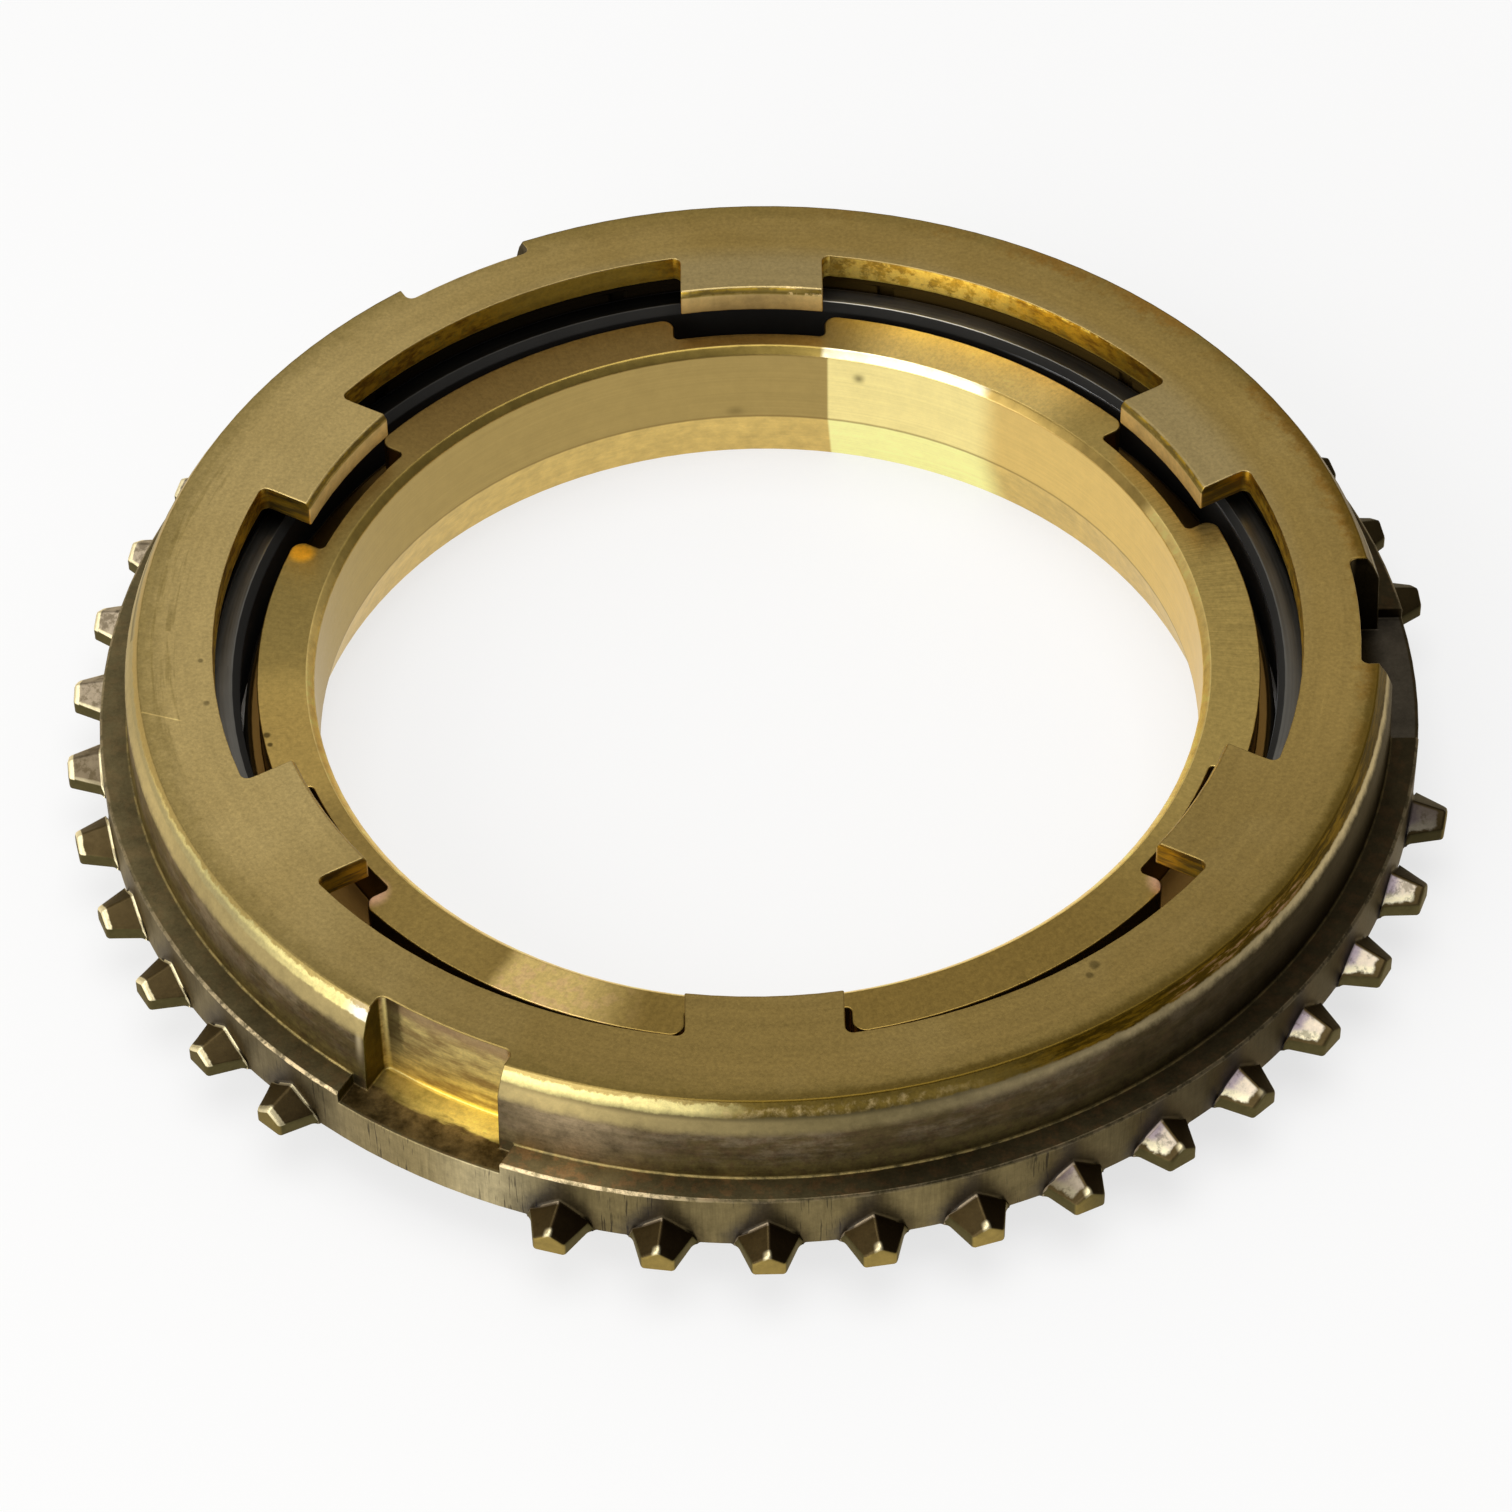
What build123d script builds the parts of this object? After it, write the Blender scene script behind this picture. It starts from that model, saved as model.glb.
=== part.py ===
from build123d import *
import math
import os

# Dual-cone synchronizer ring set, standing with its hub side up.
# Lengths are in mm and angles in degrees. Z is the common axis and z = 0 is the surface the set stands on.
# Depths are measured down from the top face of the blocker ring.
# Radii step outwards and inwards from shell_top_radius, the steel cone on which both brass rings seat.

# The set as a whole
stack_height = 16.8
cone_half_angle = 7.0
cone_clearance = 0.08
inner_ring_drop = 3.5
tabs = 6
key_slots = 3

# Cone ring: a steel shell that stands on its drive tangs
shell_top_depth = 4.0
shell_top_radius = 42.65
shell_wall = 2.5
shell_body_height = 9.2
shell_inner_chamfer = 0.6
shell_outer_chamfer = 0.3
tangs = 6
tang_width = 9.0
tang_end_chamfer = 0.8

# Blocker ring: upper wall, plate and tabs
rim_width = 5.15
rim_break_width = 0.65
rim_break_depth = 1.1
rim_shoulder_width = 0.5
rim_shoulder_depth = 2.4
rim_draft = 0.2
plate_thickness = 2.3
window_ledge = 0.65
window_corner_fillet = 0.6
tab_width = 11.6
tab_tip_clearance = 1.2
tab_tip_chamfer_width = 0.3
tab_tip_chamfer_depth = 0.45
blocker_height = 12.0
cone_mouth_chamfer = 0.4
relief_height = 1.0
relief_undercut = 0.35

# Blocker ring: tooth flange and key slots
flange_thickness = 4.95
flange_land = 2.2
flange_chamfer = 0.2
slot_width = 11.3
slot_depth = 1.4
slot_corner_fillet = 0.6
recess_width = 13.8
recess_depth = 1.05

# Blocker teeth: each narrows outwards under a roof of two chamfers that meet in a sloping ridge
tooth_places = 42
teeth_left_out_per_slot = 2
tooth_length = 2.8
tooth_root_width = 4.7
tooth_tip_width = 2.4
tooth_root_chamfer = 0.4
tooth_embed = 0.5
ridge_height = 2.7
ridge_fall = 1.0
eaves_height = 0.4

# Inner ring: lugs above, friction cone below
inner_top_depth = 3.8
lug_height = 4.0
lug_setback = 3.75
lug_length = 2.45
lug_corner_fillet = 1.0
lug_side_clearance = 0.35
web_wall = 2.0
web_corner_fillet = 0.4
ledge_chamfer = 0.5
bore_chamfer = 0.6
bore_land_length = 6.9
bore_flare = 1.75
inner_foot_chamfer = 0.3
inner_ring_turn = 0.4

# Oil grooves along both brass friction cones
oil_grooves = 12
groove_width = 1.4
groove_depth = 0.4

cone_slope = math.tan(math.radians(cone_half_angle))
drop_gap = cone_clearance + inner_ring_drop * cone_slope
rim_top_radius = shell_top_radius + rim_width
rim_break_radius = rim_top_radius + rim_break_width
rim_shoulder_radius = rim_break_radius + rim_shoulder_width
rim_foot_radius = rim_shoulder_radius + rim_draft
window_radius = shell_top_radius - window_ledge
slot_back_radius = rim_top_radius - slot_depth
flange_depth = blocker_height - flange_thickness
flange_radius = rim_foot_radius + flange_land
slot_floor_depth = flange_depth + recess_depth
ridge_root_depth = blocker_height - ridge_height
tooth_tip_radius = flange_radius + tooth_length
tooth_pitch = 360 / tooth_places
lug_radius = shell_top_radius - lug_setback
web_radius = lug_radius - lug_length
bore_radius = web_radius - web_wall
bore_foot_radius = bore_radius + bore_flare
tab_tip_radius = web_radius + tab_tip_clearance
tab_offset = 180 / tabs
notch_width = tab_width + 2 * lug_side_clearance
ledge_depth = inner_top_depth + lug_height
beyond = 2 * tooth_tip_radius


def height(depth):
    return stack_height - depth


def shell_outer(depth):
    """Radius of the cone ring's outer cone at a depth."""
    return shell_top_radius + (depth - shell_top_depth) * cone_slope


def shell_inner(depth):
    return shell_outer(depth) - shell_wall


def blocker_cone(depth):
    """Radius of the blocker ring's friction cone, which sits on the cone ring."""
    return shell_outer(depth) + cone_clearance


def inner_cone(depth):
    """Radius of the inner ring's friction cone, with that ring dropped to the surface it stands on."""
    return shell_inner(depth) - drop_gap


def turned(points):
    """Solid of revolution from (radius, depth) points."""
    outline = Polyline([(radius, 0, height(depth)) for radius, depth in points], close=True)
    return revolve(make_face(outline), Axis.Z)


def upright(plan, top_depth, bottom_depth):
    """Prism of a plan between two depths."""
    return Pos(0, 0, height(bottom_depth)) * extrude(plan, amount=bottom_depth - top_depth)


def bar(width):
    """Plan of a straight bar that runs out from the axis along X."""
    return Pos(beyond / 2, 0) * Rectangle(beyond, width)


def around(shape, count, first=0.0):
    return [Rot(0, 0, first + 360 / count * i) * shape for i in range(count)]


def corners_at(plan, radius):
    """The corners of a plan that lie on a circle."""
    return [v for v in plan.vertices() if abs(math.hypot(v.X, v.Y) - radius) < 0.001]


def oil_groove_cuts(cone, top_depth, bottom_depth):
    """Straight grooves that run down a friction cone to its lower end."""
    length = (bottom_depth - top_depth) / math.cos(math.radians(cone_half_angle))
    cutter = Rot(0, -cone_half_angle, 0) * Box(2 * groove_depth, groove_width, 2 * length)
    return around(Pos(cone(bottom_depth), 0, height(bottom_depth)) * cutter, oil_grooves, 180 / oil_grooves)


def blocker_body():
    relief_foot = plate_thickness + relief_height
    relief_radius = blocker_cone(relief_foot) + relief_undercut
    return turned([
        (tab_tip_radius, tab_tip_chamfer_depth),
        (tab_tip_radius + tab_tip_chamfer_width, 0),
        (rim_top_radius, 0),
        (rim_break_radius, rim_break_depth),
        (rim_shoulder_radius, rim_shoulder_depth),
        (rim_foot_radius, flange_depth),
        (flange_radius - flange_chamfer, flange_depth),
        (flange_radius, flange_depth + flange_chamfer),
        (flange_radius, blocker_height),
        (blocker_cone(blocker_height) + cone_mouth_chamfer, blocker_height),
        (blocker_cone(blocker_height - cone_mouth_chamfer), blocker_height - cone_mouth_chamfer),
        (blocker_cone(relief_foot), relief_foot),
        (relief_radius, relief_foot - relief_undercut),
        (relief_radius, plate_thickness),
        (tab_tip_radius, plate_thickness),
    ])


def windows():
    """The open bays between the tabs."""
    bays = Circle(window_radius) - around(bar(tab_width), tabs, tab_offset)
    return upright(fillet(corners_at(bays, window_radius), window_corner_fillet), 0, plate_thickness)


def key_slot():
    """A slot for a strut key: through the upper wall, with a wider recess across the tooth flange."""
    slot = bar(slot_width) - Circle(slot_back_radius)
    slot = fillet(corners_at(slot, slot_back_radius), slot_corner_fillet)
    recess = bar(recess_width) - Circle(rim_foot_radius)
    return upright(slot, 0, slot_floor_depth) + upright(recess, flange_depth, slot_floor_depth)


def tooth():
    """One blocker tooth on the X axis: its plan outline carried up under a roof of two chamfers."""
    root, tip = tooth_root_width / 2, tooth_tip_width / 2
    root_x = math.sqrt(flange_radius ** 2 - root ** 2)
    flanks = Polyline((0, root), (root_x, root), (tooth_tip_radius, tip),
                      (tooth_tip_radius, -tip), (root_x, -root), (0, -root), close=True)
    plan = Circle(flange_radius) + make_face(flanks)
    plan = chamfer(corners_at(plan, flange_radius), tooth_root_chamfer)
    block = upright(plan - Circle(flange_radius - tooth_embed), ridge_root_depth, blocker_height)

    fall = math.atan2(ridge_fall, tooth_length)
    along_ridge = Plane((flange_radius, 0, height(ridge_root_depth)), (0, 1, 0),
                        (math.cos(fall), 0, -math.sin(fall)))
    pitch = (ridge_height - eaves_height) / root
    gable = Polyline((0, 0), (beyond, -beyond * pitch), (-beyond, -beyond * pitch), close=True)
    return block & extrude(along_ridge * make_face(gable), amount=2 * tooth_length, both=True)


def tooth_angles():
    """Places of the teeth, half a pitch off the slots, without those that the slots take up."""
    places_per_slot = tooth_places // key_slots
    bare = teeth_left_out_per_slot // 2
    kept = [place for place in range(tooth_places)
            if bare <= place % places_per_slot < places_per_slot - bare]
    return [(place + 0.5) * tooth_pitch for place in kept]


def blocker_ring():
    one_tooth = tooth()
    ring = blocker_body() + [Rot(0, 0, angle) * one_tooth for angle in tooth_angles()]
    ring -= windows()
    ring -= around(key_slot(), key_slots)
    return ring - oil_groove_cuts(blocker_cone, plate_thickness + relief_height, blocker_height)


def cone_ring():
    """Two parallel cones, with the lower end cut back to leave the drive tangs."""
    outer_shoulder = shell_top_depth + shell_outer_chamfer
    inner_shoulder = shell_top_depth + shell_inner_chamfer
    ring = turned([
        (shell_inner(inner_shoulder) + shell_inner_chamfer, shell_top_depth),
        (shell_outer(outer_shoulder) - shell_outer_chamfer, shell_top_depth),
        (shell_outer(outer_shoulder), outer_shoulder),
        (shell_outer(stack_height), stack_height),
        (shell_inner(stack_height), stack_height),
        (shell_inner(inner_shoulder), inner_shoulder),
    ])

    body_foot = shell_top_depth + shell_body_height
    gaps = Circle(beyond) - around(bar(tang_width), tangs)
    ring -= upright(gaps, body_foot, stack_height)
    straight = ring.edges().filter_by(GeomType.LINE)
    return chamfer(straight.filter_by_position(Axis.Z, 0, 0), tang_end_chamfer)


def lug_crown():
    """The inner ring's upper part: lugs between notches that the blocker ring's tabs drop into."""
    notch = bar(notch_width) - Circle(web_radius)
    plan = Circle(lug_radius) - around(notch, tabs, tab_offset)
    plan = fillet(corners_at(plan, lug_radius), lug_corner_fillet)
    plan = fillet(corners_at(plan, web_radius), web_corner_fillet)
    return upright(plan, inner_top_depth, ledge_depth)


def inner_ring():
    cone_top = ledge_depth + ledge_chamfer
    cone_foot = stack_height - inner_foot_chamfer
    skirt = turned([
        (0, ledge_depth),
        (inner_cone(cone_top) - ledge_chamfer, ledge_depth),
        (inner_cone(cone_top), cone_top),
        (inner_cone(cone_foot), cone_foot),
        (inner_cone(cone_foot) - inner_foot_chamfer, stack_height),
        (0, stack_height),
    ])
    land_top = inner_top_depth + bore_chamfer
    bore = turned([
        (0, inner_top_depth),
        (bore_radius + bore_chamfer, inner_top_depth),
        (bore_radius, land_top),
        (bore_radius, land_top + bore_land_length),
        (bore_foot_radius, stack_height),
        (0, stack_height),
    ])
    ring = lug_crown() + skirt - bore
    ring -= oil_groove_cuts(inner_cone, ledge_depth, stack_height)
    return Rot(0, 0, inner_ring_turn) * ring


os.makedirs("parts", exist_ok=True)
export_step(blocker_ring(), "parts/blocker_ring.step")
export_step(cone_ring(), "parts/cone_ring.step")
export_step(inner_ring(), "parts/inner_ring.step")
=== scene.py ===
import math

import bmesh
import bpy
import numpy as np
from mathutils import Matrix, Vector


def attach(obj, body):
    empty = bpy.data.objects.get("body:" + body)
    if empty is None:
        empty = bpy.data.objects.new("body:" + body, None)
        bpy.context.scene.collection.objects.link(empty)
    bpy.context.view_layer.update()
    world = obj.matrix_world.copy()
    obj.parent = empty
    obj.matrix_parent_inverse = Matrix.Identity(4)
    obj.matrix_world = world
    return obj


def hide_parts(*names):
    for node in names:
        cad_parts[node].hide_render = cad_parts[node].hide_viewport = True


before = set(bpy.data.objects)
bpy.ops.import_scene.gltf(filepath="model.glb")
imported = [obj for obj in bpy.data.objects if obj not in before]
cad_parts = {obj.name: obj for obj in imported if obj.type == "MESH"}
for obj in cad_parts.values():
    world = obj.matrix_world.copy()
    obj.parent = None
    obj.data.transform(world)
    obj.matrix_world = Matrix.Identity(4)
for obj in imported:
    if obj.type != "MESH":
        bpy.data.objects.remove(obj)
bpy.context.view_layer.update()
mm = 0.001
print("frame loaded: dual-cone synchronizer ring set")


# Shader sockets that can be calculated with

class Wire:
    def __init__(self, tree, socket=None):
        self.tree = tree
        self.socket = socket

    def node(self, kind, settings, sockets, out=0):    # any node: its settings first, then values or links
        made = self.tree.nodes.new("ShaderNode" + kind)
        for name, value in settings.items():
            if name == "stops":
                ramp = made.color_ramp
                for place, colour in value[1:-1]:
                    ramp.elements.new(place)
                for element, (place, colour) in zip(ramp.elements, value):
                    element.position = place
                    element.color = (*colour, 1)
            else:
                setattr(made, name, value)
        for name, value in sockets.items():
            if isinstance(value, Wire):
                self.tree.links.new(value.socket, made.inputs[name])
            else:
                made.inputs[name].default_value = value
        return Wire(self.tree, made.outputs[out] if made.outputs else None)

    def maths(self, operation, *values):
        return self.node("Math", {"operation": operation}, dict(enumerate(values)))

    def pick(self, out):                               # another output of the same node
        return Wire(self.tree, self.socket.node.outputs[out])

    def __add__(self, other):
        return self.maths("ADD", self, other)

    def __radd__(self, other):
        return self.maths("ADD", other, self)

    def __sub__(self, other):
        return self.maths("SUBTRACT", self, other)

    def __rsub__(self, other):
        return self.maths("SUBTRACT", other, self)

    def __mul__(self, other):
        return self.maths("MULTIPLY", self, other)

    def __rmul__(self, other):
        return self.maths("MULTIPLY", other, self)

    def __truediv__(self, other):
        return self.maths("DIVIDE", self, other)

    def __pow__(self, other):
        return self.maths("POWER", self, other)

    def __abs__(self):
        return self.maths("ABSOLUTE", self)


# The three rings: merged copies of the frame's nodes with every sharp edge broken

ringEdges = {
    "merge": 0.0005 * mm,        # vertices closer than this are one
    "flatAngle": 0.4,            # degrees between faces that count as one plane
    # degrees from which an edge is broken
    "sharpAngle": {"blocker_ring": 24, "cone_ring": 24, "inner_ring": 15},
    "segments": 2,
    "evenWeight": 50,            # how far large faces outweigh small ones in the shading
    # width of the break in mm, by inner and outer radius and lower and upper height; a later row wins
    "breaks": {
        "blocker_ring": [
            (0.12, 0, 60, -1, 20),
            (0.07, 41, 43, 16, 17),          # top edge of the windows
            (0.06, 50.9, 51.6, 9.2, 10),     # both edges of the flange chamfer
            (0.18, 49, 49.3, 9.5, 10),       # foot of the outer wall
            (0.24, 51.3, 51.46, 5, 7.6),     # where the tooth roofs leave the flange
            (0.20, 51.46, 56, 4.9, 9),       # tooth roofs
            (0.30, 53.9, 56, 4.9, 9),        # tooth tips
            (0.10, 51.3, 56, 4, 4.9),        # lower edges of the teeth
        ],
        "cone_ring": [(0.10, 0, 60, -1, 20)],
        "inner_ring": [(0.13, 0, 60, -1, 20)],
    },
}

toothRoofs = {
    "fromRadius": 51.3,          # mm
    "eavesAbove": 5.0, "ridgeZ": 7.5,
    "steepness": 0.7,            # share of the solid's roof pitch that stays
}


def flatterRoofs(shape):
    look = toothRoofs
    for vertex in shape.verts:
        z = vertex.co.z / mm
        outside = vertex.co.to_2d().length / mm > look["fromRadius"]
        if outside and look["eavesAbove"] < z < look["ridgeZ"]:
            vertex.co.z = mm * (look["ridgeZ"] - look["steepness"] * (look["ridgeZ"] - z))


def breakWidths(mesh, turns, node):
    points = np.empty(len(mesh.vertices) * 3)
    mesh.vertices.foreach_get("co", points)
    ends = np.empty(len(mesh.edges) * 2, dtype=np.int32)
    mesh.edges.foreach_get("vertices", ends)
    middles = points.reshape(-1, 3)[ends.reshape(-1, 2)].mean(axis=1) / mm
    radius, height = np.hypot(middles[:, 0], middles[:, 1]), middles[:, 2]
    widths = np.zeros(len(radius))
    for width, inner, outer, low, high in ringEdges["breaks"][node]:
        widths[(radius > inner) & (radius < outer) & (height > low) & (height < high)] = width
    widths[turns < math.radians(ringEdges["sharpAngle"][node])] = 0
    return widths


def finishedRing(node, pieceName, body):
    look = ringEdges
    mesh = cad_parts[node].data.copy()
    if "custom_normal" in mesh.attributes:
        mesh.attributes.remove(mesh.attributes["custom_normal"])
    shape = bmesh.new()
    shape.from_mesh(mesh)
    bmesh.ops.remove_doubles(shape, verts=shape.verts, dist=look["merge"])
    bmesh.ops.dissolve_limit(shape, angle_limit=math.radians(look["flatAngle"]),
                             use_dissolve_boundaries=False, verts=shape.verts, edges=shape.edges)
    if node == "blocker_ring":
        flatterRoofs(shape)
    for face in shape.faces:
        face.smooth = True
    turns = np.array([edge.calc_face_angle(0) for edge in shape.edges])
    shape.to_mesh(mesh)
    shape.free()

    widths = breakWidths(mesh, turns, node)
    share = mesh.attributes.new("bevel_weight_edge", "FLOAT", "EDGE")
    share.data.foreach_set("value", widths / widths.max())
    mesh.materials.clear()
    mesh.materials.append(None)
    mesh.materials.append(None)
    ring = bpy.data.objects.new(pieceName, mesh)
    bpy.context.scene.collection.objects.link(ring)
    edgeBreak = ring.modifiers.new("edgeBreak", "BEVEL")
    edgeBreak.width = widths.max() * mm
    edgeBreak.segments = look["segments"]
    edgeBreak.limit_method = "WEIGHT"
    edgeBreak.use_clamp_overlap = False
    edgeBreak.material = 1

    # The faces that the breaks made carry a mark for the materials
    finished = bpy.data.meshes.new_from_object(ring.evaluated_get(bpy.context.evaluated_depsgraph_get()))
    finished.name = pieceName
    slots = np.empty(len(finished.polygons), dtype=np.int32)
    finished.polygons.foreach_get("material_index", slots)
    broken = finished.attributes.new("brokenEdge", "FLOAT", "FACE")
    broken.data.foreach_set("value", (slots > 0).astype(np.float32))
    finished.polygons.foreach_set("material_index", np.zeros_like(slots))
    ring.modifiers.clear()
    ring.data = finished
    evenShade = ring.modifiers.new("evenShade", "WEIGHTED_NORMAL")
    evenShade.mode = "FACE_AREA"
    evenShade.weight = look["evenWeight"]
    evenShade.keep_sharp = False
    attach(ring, body)
    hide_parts(node)
    print(f"{pieceName}: {len(finished.polygons)} faces, {int((slots > 0).sum())} of them on broken edges")
    return ring


blockerRing = finishedRing("blocker_ring", "blockerRing", "blocker_body")
coneRing = finishedRing("cone_ring", "coneRing", "cone_body")
innerRing = finishedRing("inner_ring", "innerRing", "inner_body")


# Materials: every pattern is worked out from a point's place on the ring, with lengths in mm

def newMaterial(name):
    material = bpy.data.materials.new(name)
    material.use_nodes = True
    material.node_tree.nodes.clear()
    return material, Wire(material.node_tree)


def rise(value, low, high):  # 0 below low, 1 above high, smooth between
    return value.node("MapRange", {"interpolation_type": "SMOOTHSTEP"},
                      {"Value": value, "From Min": low, "From Max": high})


def fall(value, low, high):  # 1 below low, 0 above high
    return 1 - rise(value, low, high)


def between(value, low, high, soft):  # 1 from low to high, fading out over soft
    return rise(value, low - soft, low) * fall(value, high, high + soft)


def line(value, place, halfWidth):  # 1 at a place, 0 from halfWidth away
    return fall(abs(value - place), 0.0, halfWidth)


def noise(spot, scale=1.0, detail=3.0, roughness=0.6):
    return spot.node("TexNoise", {}, {"Vector": spot, "Scale": scale,
                                      "Detail": detail, "Roughness": roughness})


def uneven(value, pattern, amount):  # a value shifted here and there by a pattern
    return value + (pattern - 0.5) * amount


def vector(x, y, z):
    start = x if isinstance(x, Wire) else y
    return start.node("CombineXYZ", {}, {"X": x, "Y": y, "Z": z})


def mixed(mask, first, second):  # a colour from first to second as mask rises
    colours = [c if isinstance(c, Wire) else (*c, 1) for c in (first, second)]
    return mask.node("Mix", {"data_type": "RGBA"}, {0: mask, 6: colours[0], 7: colours[1]}, out=2)


def shaded(colour, factor):  # a colour made darker or lighter by a number
    return factor.node("VectorMath", {"operation": "SCALE"}, {0: colour, "Scale": factor})


def places(start):
    spot = start.node("TexCoord", {}, {}, out="Object")
    spot = start.node("VectorMath", {"operation": "SCALE"}, {0: spot, "Scale": 1 / mm})
    x = start.node("SeparateXYZ", {}, {0: spot})
    y, z = x.pick("Y"), x.pick("Z")
    radius = start.maths("SQRT", x * x + y * y)
    angle = start.maths("ARCTAN2", y, x)
    edge = start.node("Attribute", {"attribute_name": "brokenEdge"}, {}, out="Fac")
    facing = start.node("TexCoord", {}, {}, out="Normal")
    up = start.node("SeparateXYZ", {}, {0: facing}, out="Z")
    return {"spot": spot, "x": x, "y": y, "z": z, "radius": radius, "angle": angle,
            "degrees": angle * (180 / math.pi), "edge": edge, "up": up}


def larger(first, second):
    return first.maths("MAXIMUM", first, second)


def folded(angle, count, first=0.0):  # angle from the nearest of count even places
    step = 2 * math.pi / count
    return (angle.maths("FRACT", (angle - first) / step + 0.5) - 0.5) * step


def sideOf(angle, middle, edge, full):  # 1 within full degrees of middle, 0 beyond edge
    low, high = math.cos(math.radians(edge)), math.cos(math.radians(full))
    return rise(angle.maths("COSINE", angle - math.radians(middle)), low, high)


def dot(at, x, y, size):  # 1 in a round spot on a level face
    away = at["spot"].maths("SQRT", (at["x"] - x) ** 2 + (at["y"] - y) ** 2)
    return fall(away, size * 0.4, size)


def scratch(at, start, end, halfWidth):  # 1 along a straight line on a level face
    length = math.dist(start, end)
    dx, dy = (end[0] - start[0]) / length, (end[1] - start[1]) / length
    along = (at["x"] - start[0]) * dx + (at["y"] - start[1]) * dy
    across = (at["x"] - start[0]) * -dy + (at["y"] - start[1]) * dx
    return line(across, 0.0, halfWidth) * between(along, 0.0, length, 0.4)


def metalSurface(piece, material, start, colour, roughness, metallic, height, look):
    bump = start.node("Bump", {}, {"Strength": 1.0, "Distance": look["bumpDepth"], "Height": height})
    metal = start.node("BsdfPrincipled", {}, {"Base Color": colour, "Metallic": metallic,
                                              "Roughness": roughness, "Normal": bump,
                                              "Specular Tint": (*look["edgeTint"], 1)})
    start.node("OutputMaterial", {}, {"Surface": metal})
    piece.data.materials.clear()
    piece.data.materials.append(material)


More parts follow.
